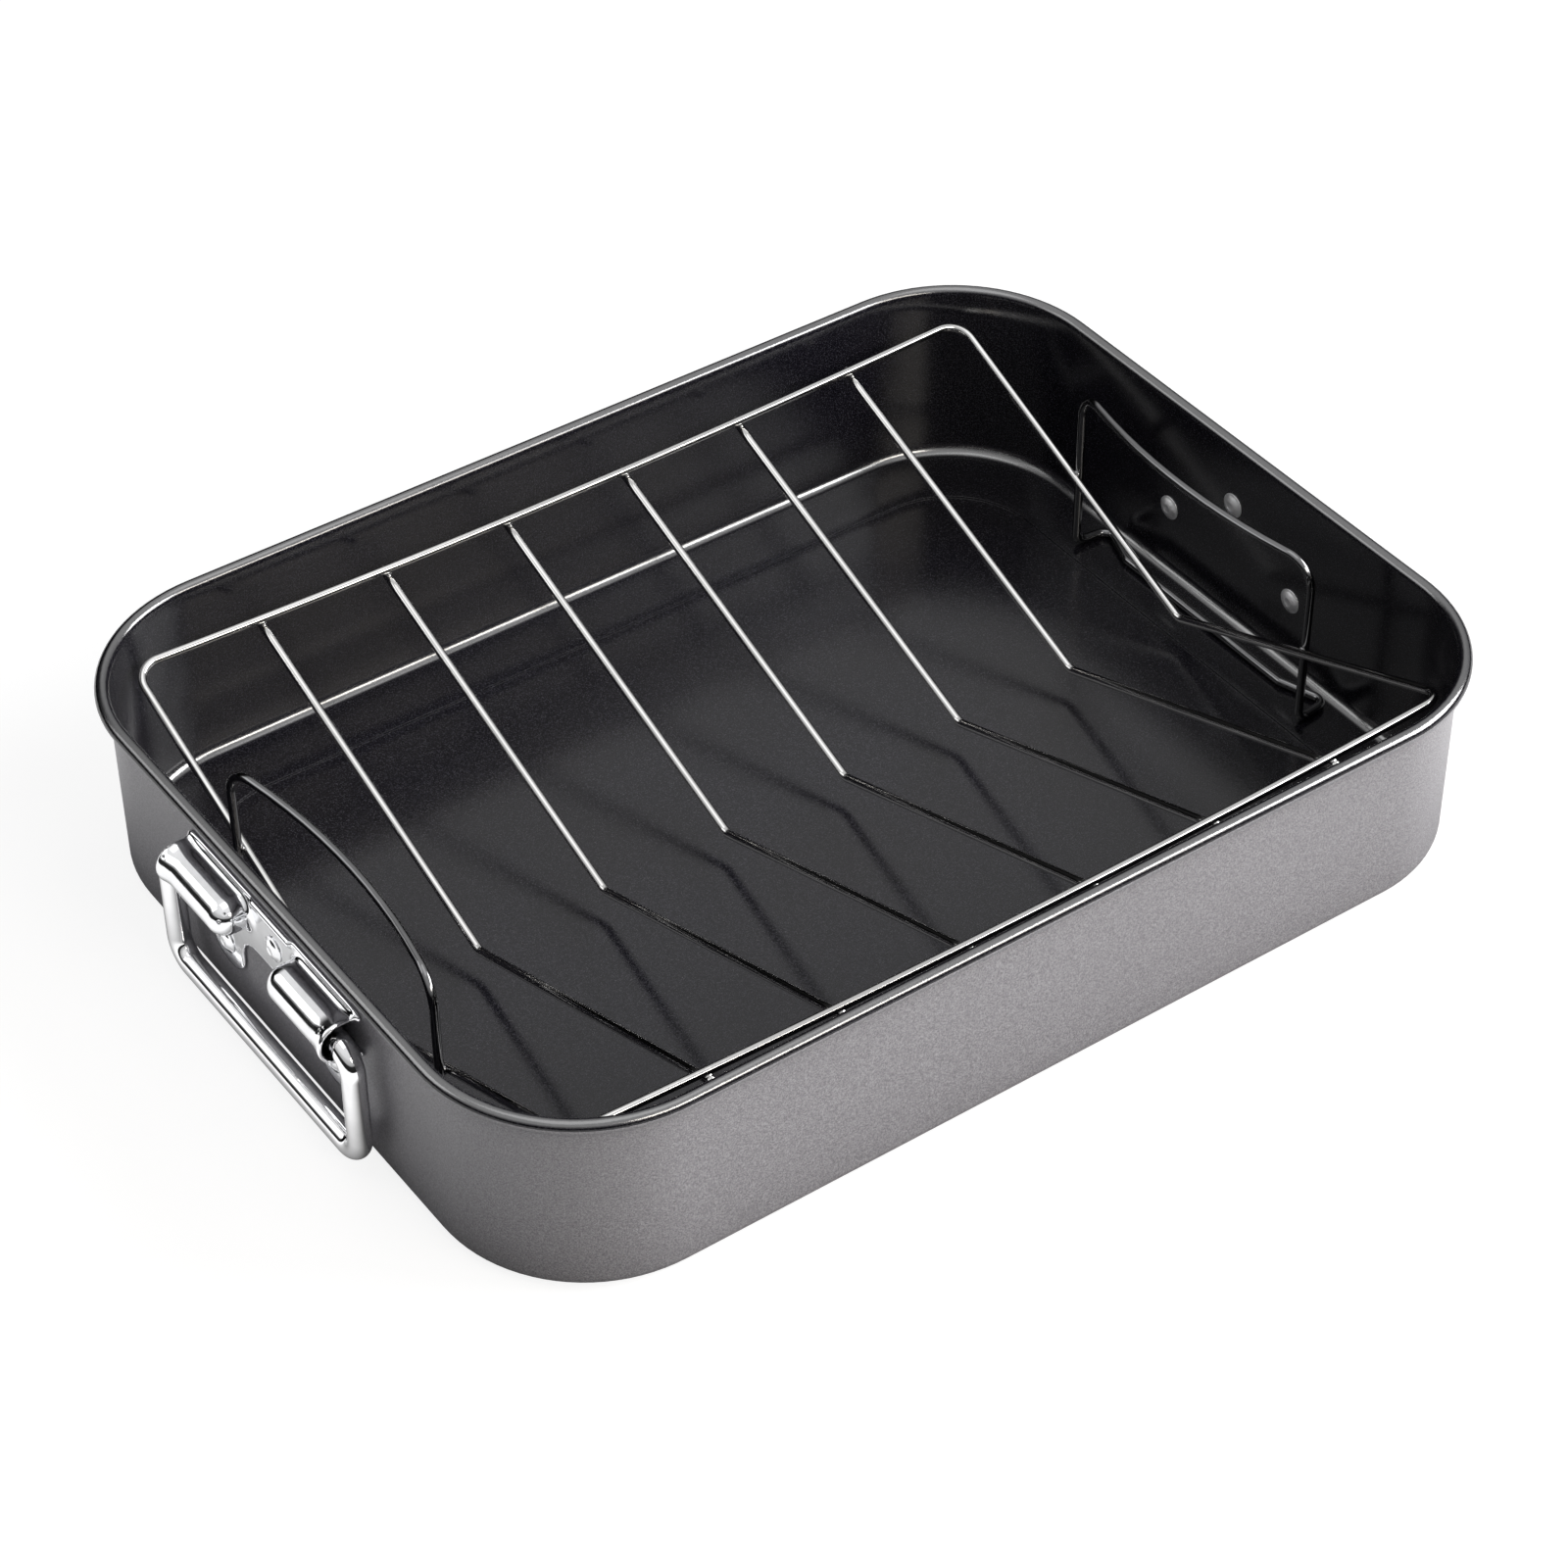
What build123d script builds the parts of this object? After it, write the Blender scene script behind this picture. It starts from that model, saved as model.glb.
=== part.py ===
from build123d import *
import os
from math import asin, atan2, cos, radians, sin, sqrt, tan

os.makedirs("parts", exist_ok=True)

# Frame: millimetres, +Z up. The origin is the middle of the pan's footprint on the table.
# X runs from handle to handle, Y across. Anything named "right" is at +X.

# Pan, one deep-drawn sheet
pan_length = 406.0
pan_width = 308.0
pan_height = 77.0
pan_sheet = 1.0
rim_corner_radius = 59.5
floor_bend_radius = 5.0

# Rolled rim: the sheet curls outward and down, and ends short of the wall
curl_radius = 2.6
curl_start_angle = 180.0
curl_turn = 295.0

# Sunken panel in the floor, which the pan stands on
panel_depth = 0.8
panel_border_x = 24.0
panel_border_y = 26.0
panel_corner_radius = 36.0
panel_slope_angle = 45.0

# Bail, a bent rod that hangs at each end wall and swings in the hoods of its bracket
bail_rod_radius = 4.1
bail_wall_gap = 3.0
bail_axis_drop = 23.7
bail_arm_y = 58.2
bail_table_gap = 4.9
bail_end_y = 23.0
bail_top_bend = 8.0
bail_bar_bend = 8.5
bail_end_chamfer = 0.6

# Handle bracket, stamped from one sheet, flat on the wall
bracket_sheet = 1.2
bracket_margin_top = 1.4
bracket_margin_side = 2.0
bracket_skirt_drop = 10.0
bracket_corner_radius = 3.0
bracket_skirt_radius = 4.0
lobe_margin = 10.5
lobe_radius = 9.0
arch_rise = 10.0
arch_fillet = 10.0
top_lip_height = 1.6
top_lip_reach = 1.4
top_lip_half_length = 13.0

# Hoods, drawn out of the bracket over the rod's ends
hood_play = 1.6
hood_seat_clearance = 0.3
hood_lip_flare = 1.1
hood_flare_length = 6.0
hood_lip_length = 1.2
hood_arm_gap = 2.1
hood_end_gap = 3.0
hood_foot_fillet = 1.0

# Rivets, three through each end wall: one upper, two lower
rivet_shank_radius = 2.2
rivet_hole_clearance = 0.05
rivet_head_radius = 4.8
rivet_head_height = 2.0
rivet_dimple_radius = 1.3
rivet_dimple_depth = 0.5
rivet_upper_drop = 1.8
rivet_lower_drop = 23.8
rivet_lower_y = 34.0

# Rack, bent and welded from one size of wire
wire_radius = 1.6
weld_sink = 0.4

# Rack frame: two long rails joined by a V at each end
frame_end_gap = 22.1
frame_side_gap = 13.8
frame_corner_drop = 12.0
frame_valley_gap = 7.7
rail_sag = 4.2
frame_corner_bend = 9.0
valley_bend = 6.6
cross_wires = 6
cross_wire_overhang = 4.0

# Rack supports: a lifting handle, two posts and a foot on the pan's floor
support_post_y = 63.5
support_top_drop = 4.0
handle_bow = 7.5
handle_bend = 11.0
foot_floor_gap = 0.3
foot_wall_gap = 2.7
foot_toe_in = 1.5
foot_reach = 6.5
foot_run_in = 18.5
foot_bend = 4.0

# Length by which a cut runs past what it cuts
overrun = 5.0

# Rounds in which the crest of a bowed run settles
bow_rounds = 20

# Places on the pan
curl_overhang = 2 * curl_radius - pan_sheet
wall_face_x = pan_length / 2 - curl_overhang
wall_face_y = pan_width / 2 - curl_overhang
wall_corner_radius = rim_corner_radius - curl_overhang
inside_x = wall_face_x - pan_sheet
inside_y = wall_face_y - pan_sheet
curl_centre_z = pan_height - curl_radius
rim_path_x = pan_length / 2 - curl_radius
rim_path_y = pan_width / 2 - curl_radius
panel_half_x = inside_x - panel_border_x
panel_half_y = inside_y - panel_border_y
panel_sheet_offset = pan_sheet * tan(radians(panel_slope_angle / 2))
border_top_z = panel_depth + pan_sheet

# Places on the handles
bail_axis_out = bail_rod_radius + bail_wall_gap
bail_axis_x = wall_face_x + bail_axis_out
bail_axis_z = pan_height - bail_axis_drop
bail_bar_z = bail_rod_radius + bail_table_gap
hood_bore = bail_rod_radius + hood_play
hood_radius = hood_bore + bracket_sheet
hood_lip_radius = hood_radius + hood_lip_flare
hood_axis_z = bail_axis_z + hood_play - hood_seat_clearance
hood_mouth_y = bail_arm_y - bail_rod_radius - hood_arm_gap
hood_dome_y = bail_end_y - hood_end_gap
bracket_face_x = wall_face_x + bracket_sheet
bracket_half_width = hood_mouth_y + bracket_margin_side
bracket_top_z = hood_axis_z + hood_lip_radius + bracket_margin_top
bracket_skirt_z = hood_axis_z - bracket_skirt_drop
rivet_upper_z = bail_axis_z - rivet_upper_drop
rivet_lower_z = bail_axis_z - rivet_lower_drop
arch_top_z = rivet_lower_z + arch_rise
rivet_spots = {
    "upper": (0, rivet_upper_z),
    "lower_back": (rivet_lower_y, rivet_lower_z),
    "lower_front": (-rivet_lower_y, rivet_lower_z),
}

# Places on the rack
frame_half_length = inside_x - frame_end_gap
frame_half_width = inside_y - frame_side_gap
frame_corner_z = pan_height - frame_corner_drop
frame_valley_z = border_top_z + frame_valley_gap
weld_spacing = 2 * wire_radius - weld_sink
wire_pitch = 2 * frame_half_length / (cross_wires + 1)
support_post_x = frame_half_length + weld_spacing
support_top_z = pan_height - support_top_drop
foot_tip_x = inside_x - foot_wall_gap - wire_radius
foot_tip_y = support_post_y - foot_toe_in
base_run_x = foot_tip_x - foot_reach
base_run_half_length = foot_tip_y - foot_run_in
base_wire_z = border_top_z + foot_floor_gap + wire_radius


def keep(piece, name):
    """Label a finished piece and write it to its own file."""
    piece.part.label = name
    export_step(piece.part, f"parts/{name}.step")


def bowed_vertex(half_span, bow, straight_end):
    """Offset of the corner, and its radius, that bow a run of two half spans by bow.

    The corner lies past the arc's crest. Each end of the run stays straight for straight_end.
    """
    offset = 2 * bow
    for _ in range(bow_rounds):
        slope = atan2(offset, half_span)
        radius = (half_span / cos(slope) - straight_end) / tan(slope)
        offset = bow + radius * (1 / cos(slope) - 1)
    return offset, radius


def wire_loop(points, radii, radius):
    """One closed round wire along a polyline with a bend at each corner."""
    with BuildPart() as wire:
        with BuildLine() as path:
            FilletPolyline(*points, radius=radii, close=True)
        with BuildSketch(Plane(origin=path.line @ 0, z_dir=path.line % 0)):
            Circle(radius)
        sweep(path=path.line)
    return wire


# Pan body
with BuildPart() as pan_body:
    with BuildSketch(Plane.XY.offset(panel_depth)):
        RectangleRounded(2 * wall_face_x, 2 * wall_face_y, wall_corner_radius)
    extrude(amount=curl_centre_z - panel_depth)
    fillet(pan_body.faces().sort_by(Axis.Z)[0].edges(), floor_bend_radius)
    offset(amount=-pan_sheet, openings=pan_body.faces().sort_by(Axis.Z)[-1])
    # Sunken panel, with the same sheet on its sloping edge
    with BuildSketch(Plane.XY.offset(panel_depth)):
        RectangleRounded(2 * panel_half_x, 2 * panel_half_y, panel_corner_radius)
    extrude(amount=-panel_depth, taper=panel_slope_angle)
    with BuildSketch(Plane.XY.offset(border_top_z)):
        RectangleRounded(
            2 * (panel_half_x - panel_sheet_offset),
            2 * (panel_half_y - panel_sheet_offset),
            panel_corner_radius - panel_sheet_offset,
        )
    extrude(amount=-panel_depth, taper=panel_slope_angle, mode=Mode.SUBTRACT)
    # Rolled rim, swept round half of the perimeter and mirrored
    with BuildLine(Plane.XY.offset(curl_centre_z)) as rim_path:
        FilletPolyline(
            (0, -rim_path_y),
            (rim_path_x, -rim_path_y),
            (rim_path_x, rim_path_y),
            (0, rim_path_y),
            radius=rim_corner_radius - curl_radius,
        )
    curl_plane = Plane(origin=(0, -rim_path_y, curl_centre_z), x_dir=(0, -1, 0), z_dir=(-1, 0, 0))
    with BuildSketch(curl_plane):
        with BuildLine():
            outer = CenterArc((0, 0), curl_radius, curl_start_angle, -curl_turn)
            inner = CenterArc((0, 0), curl_radius - pan_sheet, curl_start_angle, -curl_turn)
            Line(outer @ 0, inner @ 0)
            Line(outer @ 1, inner @ 1)
        make_face()
    rim_half = sweep(path=rim_path.line)
    mirror(rim_half, about=Plane.YZ)
    # Rivet holes through both end walls
    with BuildSketch(Plane.YZ):
        with Locations(*rivet_spots.values()):
            Circle(rivet_shank_radius + rivet_hole_clearance)
    extrude(amount=pan_length / 2, both=True, mode=Mode.SUBTRACT)
keep(pan_body, "pan_body")


def hood_outline(tube_radius, lip_radius, end_y):
    """Half section of a hood above its axis: domed inside end, straight tube, flared lip."""
    lip_y = hood_mouth_y - hood_lip_length
    flare_y = lip_y - hood_flare_length
    with BuildLine() as outline:
        dome = CenterArc((hood_dome_y, 0), tube_radius, 180, -90)
        tube = Line(dome @ 1, (flare_y, tube_radius))
        flare = TangentArc(tube @ 1, (lip_y, lip_radius), tangent=tube % 1)
        lip = Line(flare @ 1, (end_y, lip_radius))
        mouth = Line(lip @ 1, (end_y, 0))
        Line(mouth @ 1, dome @ 0)
    return outline.edges()


# Handle bracket, one half made and mirrored across the middle
with BuildPart() as handle_bracket_right:
    with BuildSketch(Plane.YZ.offset(wall_face_x)):
        with BuildLine():
            lobe_inner_y = rivet_lower_y - lobe_margin
            lobe_outer_y = rivet_lower_y + lobe_margin
            lobe_bottom_z = rivet_lower_z - lobe_margin
            edge = FilletPolyline(
                (0, bracket_top_z),
                (bracket_half_width, bracket_top_z),
                (bracket_half_width, bracket_skirt_z),
                (lobe_outer_y, bracket_skirt_z),
                (lobe_outer_y, lobe_bottom_z),
                (lobe_inner_y, lobe_bottom_z),
                (lobe_inner_y, arch_top_z),
                (0, arch_top_z),
                radius=[
                    bracket_corner_radius,
                    bracket_skirt_radius,
                    bracket_skirt_radius,
                    lobe_radius,
                    lobe_radius,
                    arch_fillet,
                ],
            )
            Line(edge @ 1, edge @ 0)
        make_face()
    extrude(amount=bracket_sheet)
    # Hood: the outside is drawn from the flat plate and blended into it at the foot
    hood_plane = Plane(origin=(bail_axis_x, 0, hood_axis_z), x_dir=(0, 1, 0), z_dir=(1, 0, 0))
    hood_axis = Axis(hood_plane.origin, hood_plane.x_dir)
    outside = hood_outline(hood_radius, hood_lip_radius, hood_mouth_y)
    with BuildSketch(hood_plane):
        make_face(outside)
        mirror(about=Plane.XZ)
    extrude(amount=bracket_face_x - bail_axis_x)
    foot = (
        handle_bracket_right.edges(Select.LAST)
        .filter_by_position(Axis.X, bracket_face_x, bracket_face_x)
        .filter_by_position(Axis.Y, 0, hood_mouth_y, inclusive=(True, False))
    )
    fillet(foot, hood_foot_fillet)
    with BuildSketch(hood_plane):
        make_face(outside)
    revolve(axis=hood_axis, revolution_arc=180)
    # Hood: the hollow is open at the mouth and at the wall
    hollow = hood_outline(hood_bore, hood_lip_radius - bracket_sheet, hood_mouth_y + overrun)
    with BuildSketch(hood_plane):
        make_face(hollow)
    revolve(axis=hood_axis, revolution_arc=180, mode=Mode.SUBTRACT)
    with BuildSketch(hood_plane):
        make_face(hollow)
        mirror(about=Plane.XZ)
    extrude(amount=-bail_axis_out - overrun, mode=Mode.SUBTRACT)
    # Rolled lip along the middle of the top edge
    with BuildSketch(Plane.XZ):
        with Locations((bracket_face_x, bracket_top_z - top_lip_height)):
            Rectangle(top_lip_reach, top_lip_height, align=(Align.MIN, Align.MIN))
    extrude(amount=-top_lip_half_length)
    with BuildSketch(Plane.YZ.offset(wall_face_x)):
        with Locations(*rivet_spots.values()):
            Circle(rivet_shank_radius + rivet_hole_clearance)
    extrude(amount=bracket_sheet, mode=Mode.SUBTRACT)
    mirror(about=Plane.XZ)
keep(handle_bracket_right, "handle_bracket_right")

with BuildPart() as handle_bracket_left:
    mirror(handle_bracket_right.part, about=Plane.YZ)
keep(handle_bracket_left, "handle_bracket_left")

# Bails
for name, side in (("bail_right", 1), ("bail_left", -1)):
    with BuildPart() as bail:
        with BuildLine() as bail_path:
            FilletPolyline(
                (side * bail_axis_x, bail_end_y, bail_axis_z),
                (side * bail_axis_x, bail_arm_y, bail_axis_z),
                (side * bail_axis_x, bail_arm_y, bail_bar_z),
                (side * bail_axis_x, -bail_arm_y, bail_bar_z),
                (side * bail_axis_x, -bail_arm_y, bail_axis_z),
                (side * bail_axis_x, -bail_end_y, bail_axis_z),
                radius=[bail_top_bend, bail_bar_bend, bail_bar_bend, bail_top_bend],
            )
        with BuildSketch(Plane(origin=bail_path.line @ 0, z_dir=bail_path.line % 0)):
            Circle(bail_rod_radius)
        sweep(path=bail_path.line)
        ends = bail.faces().filter_by(GeomType.PLANE)
        chamfer(ends.edges(), bail_end_chamfer)
    keep(bail, name)


def rivet(y, z, side):
    """One rivet: a shank through wall and bracket, and a dimpled domed head on each side."""
    dome_radius = (rivet_head_radius**2 + rivet_head_height**2) / (2 * rivet_head_height)
    crown_middle = (rivet_head_radius + rivet_dimple_radius) / 2
    rivet_plane = Plane(origin=(side * wall_face_x, y, z), x_dir=(side, 0, 0), z_dir=(0, 1, 0))

    def dome(radius):
        return rivet_head_height - dome_radius + sqrt(dome_radius**2 - radius**2)

    with BuildPart() as solid:
        with BuildSketch(rivet_plane):
            with BuildLine():
                shank = Line((-pan_sheet, rivet_shank_radius), (bracket_sheet, rivet_shank_radius))
                ends = []
                for start, out in ((shank @ 0, -1), (shank @ 1, 1)):
                    seat = Line(start, (start.X, rivet_head_radius))
                    crown = ThreePointArc(
                        seat @ 1,
                        (start.X + out * dome(crown_middle), crown_middle),
                        (start.X + out * dome(rivet_dimple_radius), rivet_dimple_radius),
                    )
                    floor_x = start.X + out * (rivet_head_height - rivet_dimple_depth)
                    dimple_wall = Line(crown @ 1, (floor_x, rivet_dimple_radius))
                    ends.append(Line(dimple_wall @ 1, (floor_x, 0)) @ 1)
                Line(*ends)
            make_face()
        revolve(axis=Axis(rivet_plane.origin, rivet_plane.x_dir))
    return solid


for end, side in (("right", 1), ("left", -1)):
    for place, (y, z) in rivet_spots.items():
        keep(rivet(y, z, side), f"rivet_{end}_{place}")

# Rack frame
rail_offset, rail_radius = bowed_vertex(frame_half_length, rail_sag, 2 * frame_corner_bend)
rack_frame = wire_loop(
    [
        (frame_half_length, frame_half_width, frame_corner_z),
        (frame_half_length, 0, frame_valley_z),
        (frame_half_length, -frame_half_width, frame_corner_z),
        (0, -frame_half_width, frame_corner_z - rail_offset),
        (-frame_half_length, -frame_half_width, frame_corner_z),
        (-frame_half_length, 0, frame_valley_z),
        (-frame_half_length, frame_half_width, frame_corner_z),
        (0, frame_half_width, frame_corner_z - rail_offset),
    ],
    [frame_corner_bend, valley_bend, frame_corner_bend, rail_radius] * 2,
    wire_radius,
)
keep(rack_frame, "rack_frame")


def rail_z(x):
    """Height of the rail's centre line at x."""
    return frame_corner_z - rail_sag * (1 - (x / frame_half_length) ** 2)


# Rack cross wires, each a V under the two rails
for number in range(1, cross_wires + 1):
    x = -frame_half_length + number * wire_pitch
    rise = rail_z(x) - frame_valley_z
    angle = atan2(rise, frame_half_width) - asin(weld_spacing / sqrt(rise**2 + frame_half_width**2))
    end_y = frame_half_width + cross_wire_overhang * cos(angle)
    end_z = frame_valley_z + end_y * tan(angle)
    with BuildPart() as cross_wire:
        with BuildLine() as valley_path:
            FilletPolyline((x, -end_y, end_z), (x, 0, frame_valley_z), (x, end_y, end_z), radius=valley_bend)
        with BuildSketch(Plane(origin=valley_path.line @ 0, z_dir=valley_path.line % 0)):
            Circle(wire_radius)
        sweep(path=valley_path.line)
    keep(cross_wire, f"rack_wire_{number}")

# Rack supports
bow_offset, bow_radius = bowed_vertex(support_post_y, handle_bow, handle_bend + wire_radius)
for name, side in (("rack_support_right", 1), ("rack_support_left", -1)):
    right_points = [
        (support_post_x, support_post_y, support_top_z),
        (support_post_x, support_post_y, base_wire_z),
        (foot_tip_x, foot_tip_y, base_wire_z),
        (base_run_x, base_run_half_length, base_wire_z),
        (base_run_x, -base_run_half_length, base_wire_z),
        (foot_tip_x, -foot_tip_y, base_wire_z),
        (support_post_x, -support_post_y, base_wire_z),
        (support_post_x, -support_post_y, support_top_z),
        (support_post_x - bow_offset, 0, support_top_z),
    ]
    support = wire_loop(
        [(side * px, py, pz) for px, py, pz in right_points],
        [handle_bend] + [foot_bend] * 6 + [handle_bend, bow_radius],
        wire_radius,
    )
    keep(support, name)
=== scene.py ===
import math

import bpy
import numpy as np
from mathutils import Euler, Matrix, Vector


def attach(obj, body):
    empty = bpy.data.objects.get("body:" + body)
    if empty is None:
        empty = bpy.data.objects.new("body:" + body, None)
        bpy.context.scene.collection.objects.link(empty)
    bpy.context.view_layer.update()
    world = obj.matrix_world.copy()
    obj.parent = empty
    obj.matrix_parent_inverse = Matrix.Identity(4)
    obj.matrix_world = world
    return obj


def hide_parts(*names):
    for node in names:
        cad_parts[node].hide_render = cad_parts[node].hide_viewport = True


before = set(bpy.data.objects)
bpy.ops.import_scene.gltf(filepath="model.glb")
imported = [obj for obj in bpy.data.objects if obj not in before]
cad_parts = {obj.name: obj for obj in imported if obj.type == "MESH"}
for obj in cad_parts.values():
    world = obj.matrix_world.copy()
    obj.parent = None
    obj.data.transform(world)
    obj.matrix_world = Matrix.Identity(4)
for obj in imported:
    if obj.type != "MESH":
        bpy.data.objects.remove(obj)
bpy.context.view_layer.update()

scene = bpy.context.scene

# Sizes in millimetres, the same as the source's. Meshes are made in millimetres and scaled once.
MM = 0.001
PAN_LENGTH, PAN_WIDTH, PAN_HEIGHT, SHEET = 406.0, 308.0, 77.0, 1.0
RIM_CORNER, CURL = 59.5, 2.6
CURL_TURN = 295.0  # degrees that the rim's sheet turns through
CURL_START = 180.0
CURL_END = CURL_START - CURL_TURN
FLOOR_BEND, PANEL_DEPTH = 5.0, 0.8
COAT_EDGE = 12.0  # the outside coat ends this many degrees up the rim's bead
RIM_REACH = 4.2  # from the wall's outer face to the outside of the rim
WALL_X, WALL_Y = PAN_LENGTH / 2 - RIM_REACH, PAN_WIDTH / 2 - RIM_REACH
WALL_CORNER = RIM_CORNER - RIM_REACH
PANEL_X, PANEL_Y, PANEL_CORNER = WALL_X - 25.0, WALL_Y - 27.0, 36.0
# Inset and drop of each ring of the panel's step
STEP_PROFILE = ((-0.10, 0.0), (0.0, 0.03), (0.05, 0.10), (0.075, 0.18),
                (0.125, 0.62), (0.15, 0.70), (0.20, 0.77), (0.30, 0.80))
BRACKET_SHEET, PLATE_EDGE = 1.2, 0.45
AXIS_OUT, AXIS_Z = 7.1, 53.3
HOOD_Z, HOOD_R, HOOD_LIP_R = 54.6, 6.9, 7.98
HOOD_DOME_Y, HOOD_MOUTH_Y = 20.0, 52.0
FLARE_Y, FLARE_RUN = 44.0, 6.8
TOP_LIP_OUT, TOP_LIP_Z, TOP_LIP_Y, TOP_LIP_R = 1.35, 62.65, 11.4, 1.3
ROD_R, ARM_Y, BAR_Z, ROD_END_Y = 4.1, 58.2, 9.0, 23.0
ARM_BEND, BAR_BEND = 8.0, 8.5
RIVETS = {"upper": (0.0, 51.5), "lower_back": (34.0, 29.5), "lower_front": (-34.0, 29.5)}
RIVET_HEAD_R, RIVET_HEAD_H, RIVET_SHANK_R = 4.8, 2.0, 2.2
WIRE_R, WELD_SINK, CROSS_WIRES = 1.6, 0.4, 6
FRAME_X, FRAME_Y, CORNER_Z, VALLEY_Z, SAG = 175.7, 135.0, 65.0, 9.5, 4.2
CORNER_BEND, VALLEY_BEND = 9.0, 6.6
POST_Y, LOOP_Z, LOOP_BEND = 63.5, 73.0, 11.0
TIP_X, TIP_Y, BASE_X, BASE_Y, FOOT_Z, FOOT_BEND = 193.5, 62.0, 187.0, 43.5, 3.7, 4.0


# Materials
def new_material(name):
    """An empty node material with its output, principled shader and object coordinates."""
    m = bpy.data.materials.new(name)
    m.use_nodes = True
    t = m.node_tree
    t.nodes.clear()
    out = t.nodes.new("ShaderNodeOutputMaterial")
    bsdf = t.nodes.new("ShaderNodeBsdfPrincipled")
    t.links.new(bsdf.outputs[0], out.inputs[0])
    coord = t.nodes.new("ShaderNodeTexCoord")
    return m, t, bsdf, coord.outputs["Object"]


def noise(t, vector, scale, detail=2.0, rough=0.5):
    n = t.nodes.new("ShaderNodeTexNoise")
    n.inputs["Scale"].default_value = scale
    n.inputs["Detail"].default_value = detail
    n.inputs["Roughness"].default_value = rough
    t.links.new(vector, n.inputs["Vector"])
    return n.outputs["Fac"]


def stretched(t, vector, scale):
    m = t.nodes.new("ShaderNodeMapping")
    m.inputs["Scale"].default_value = scale
    t.links.new(vector, m.inputs["Vector"])
    return m.outputs[0]


def ramp(t, value, stops):
    r = t.nodes.new("ShaderNodeValToRGB")
    e = r.color_ramp.elements
    while len(e) < len(stops):
        e.new(0.5)
    for k, (at, colour) in enumerate(stops):
        e[k].position = at
        e[k].color = (*colour, 1.0)
    t.links.new(value, r.inputs[0])
    return r.outputs[0]


def grey(v):
    return (v, v, v)


def spread(t, value, low, high, new_low, new_high):
    m = t.nodes.new("ShaderNodeMapRange")
    for k, v in enumerate((low, high, new_low, new_high)):
        m.inputs[1 + k].default_value = v
    t.links.new(value, m.inputs[0])
    return m.outputs[0]


def mix_colour(t, factor, a, b, mode="MIX"):
    m = t.nodes.new("ShaderNodeMix")
    m.data_type = "RGBA"
    m.blend_type = mode
    for socket, value in ((m.inputs[0], factor), (m.inputs[6], a), (m.inputs[7], b)):
        if isinstance(value, bpy.types.NodeSocket):
            t.links.new(value, socket)
        elif isinstance(value, tuple):
            socket.default_value = (*value, 1.0)
        else:
            socket.default_value = value
    return m.outputs[2]


def add(t, *values):
    total = values[0]
    for v in values[1:]:
        m = t.nodes.new("ShaderNodeMath")
        m.operation = "ADD"
        t.links.new(total, m.inputs[0])
        t.links.new(v, m.inputs[1])
        total = m.outputs[0]
    return total


def combine(t, operation, a, b):
    m = t.nodes.new("ShaderNodeMath")
    m.operation = operation
    t.links.new(a, m.inputs[0])
    t.links.new(b, m.inputs[1])
    return m.outputs[0]


def bump(t, bsdf, height, strength, distance):
    b = t.nodes.new("ShaderNodeBump")
    b.inputs["Strength"].default_value = strength
    b.inputs["Distance"].default_value = distance
    t.links.new(height, b.inputs["Height"])
    t.links.new(b.outputs[0], bsdf.inputs["Normal"])


def exterior_coating():
    """Gunmetal paint with a fine metallic grain."""
    m, t, bsdf, at = new_material("coating_outside")
    grain = noise(t, at, 1900.0, 2.0, 0.6)
    fleck = noise(t, at, 3600.0, 1.0, 0.5)
    cloud = noise(t, at, 9.0, 3.0, 0.5)
    base = ramp(t, grain, [(0.32, (0.195, 0.188, 0.206)), (0.52, (0.320, 0.311, 0.337)),
                           (0.70, (0.480, 0.470, 0.502))])
    base = mix_colour(t, spread(t, fleck, 0.58, 0.76, 0.0, 0.60), base, (0.80, 0.80, 0.84))
    base = mix_colour(t, spread(t, cloud, 0.35, 0.70, 0.0, 0.16), base,
                      (0.270, 0.262, 0.280))
    t.links.new(base, bsdf.inputs["Base Color"])
    bsdf.inputs["Metallic"].default_value = 0.12
    rough = add(t, spread(t, grain, 0.3, 0.7, 0.40, 0.50),
                spread(t, cloud, 0.3, 0.7, -0.03, 0.03))
    t.links.new(rough, bsdf.inputs["Roughness"])
    bsdf.inputs["Specular IOR Level"].default_value = 0.5
    bsdf.inputs["Coat Weight"].default_value = 0.15
    bsdf.inputs["Coat Roughness"].default_value = 0.25
    bump(t, bsdf, grain, 0.10, 0.0002)
    return m


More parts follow.
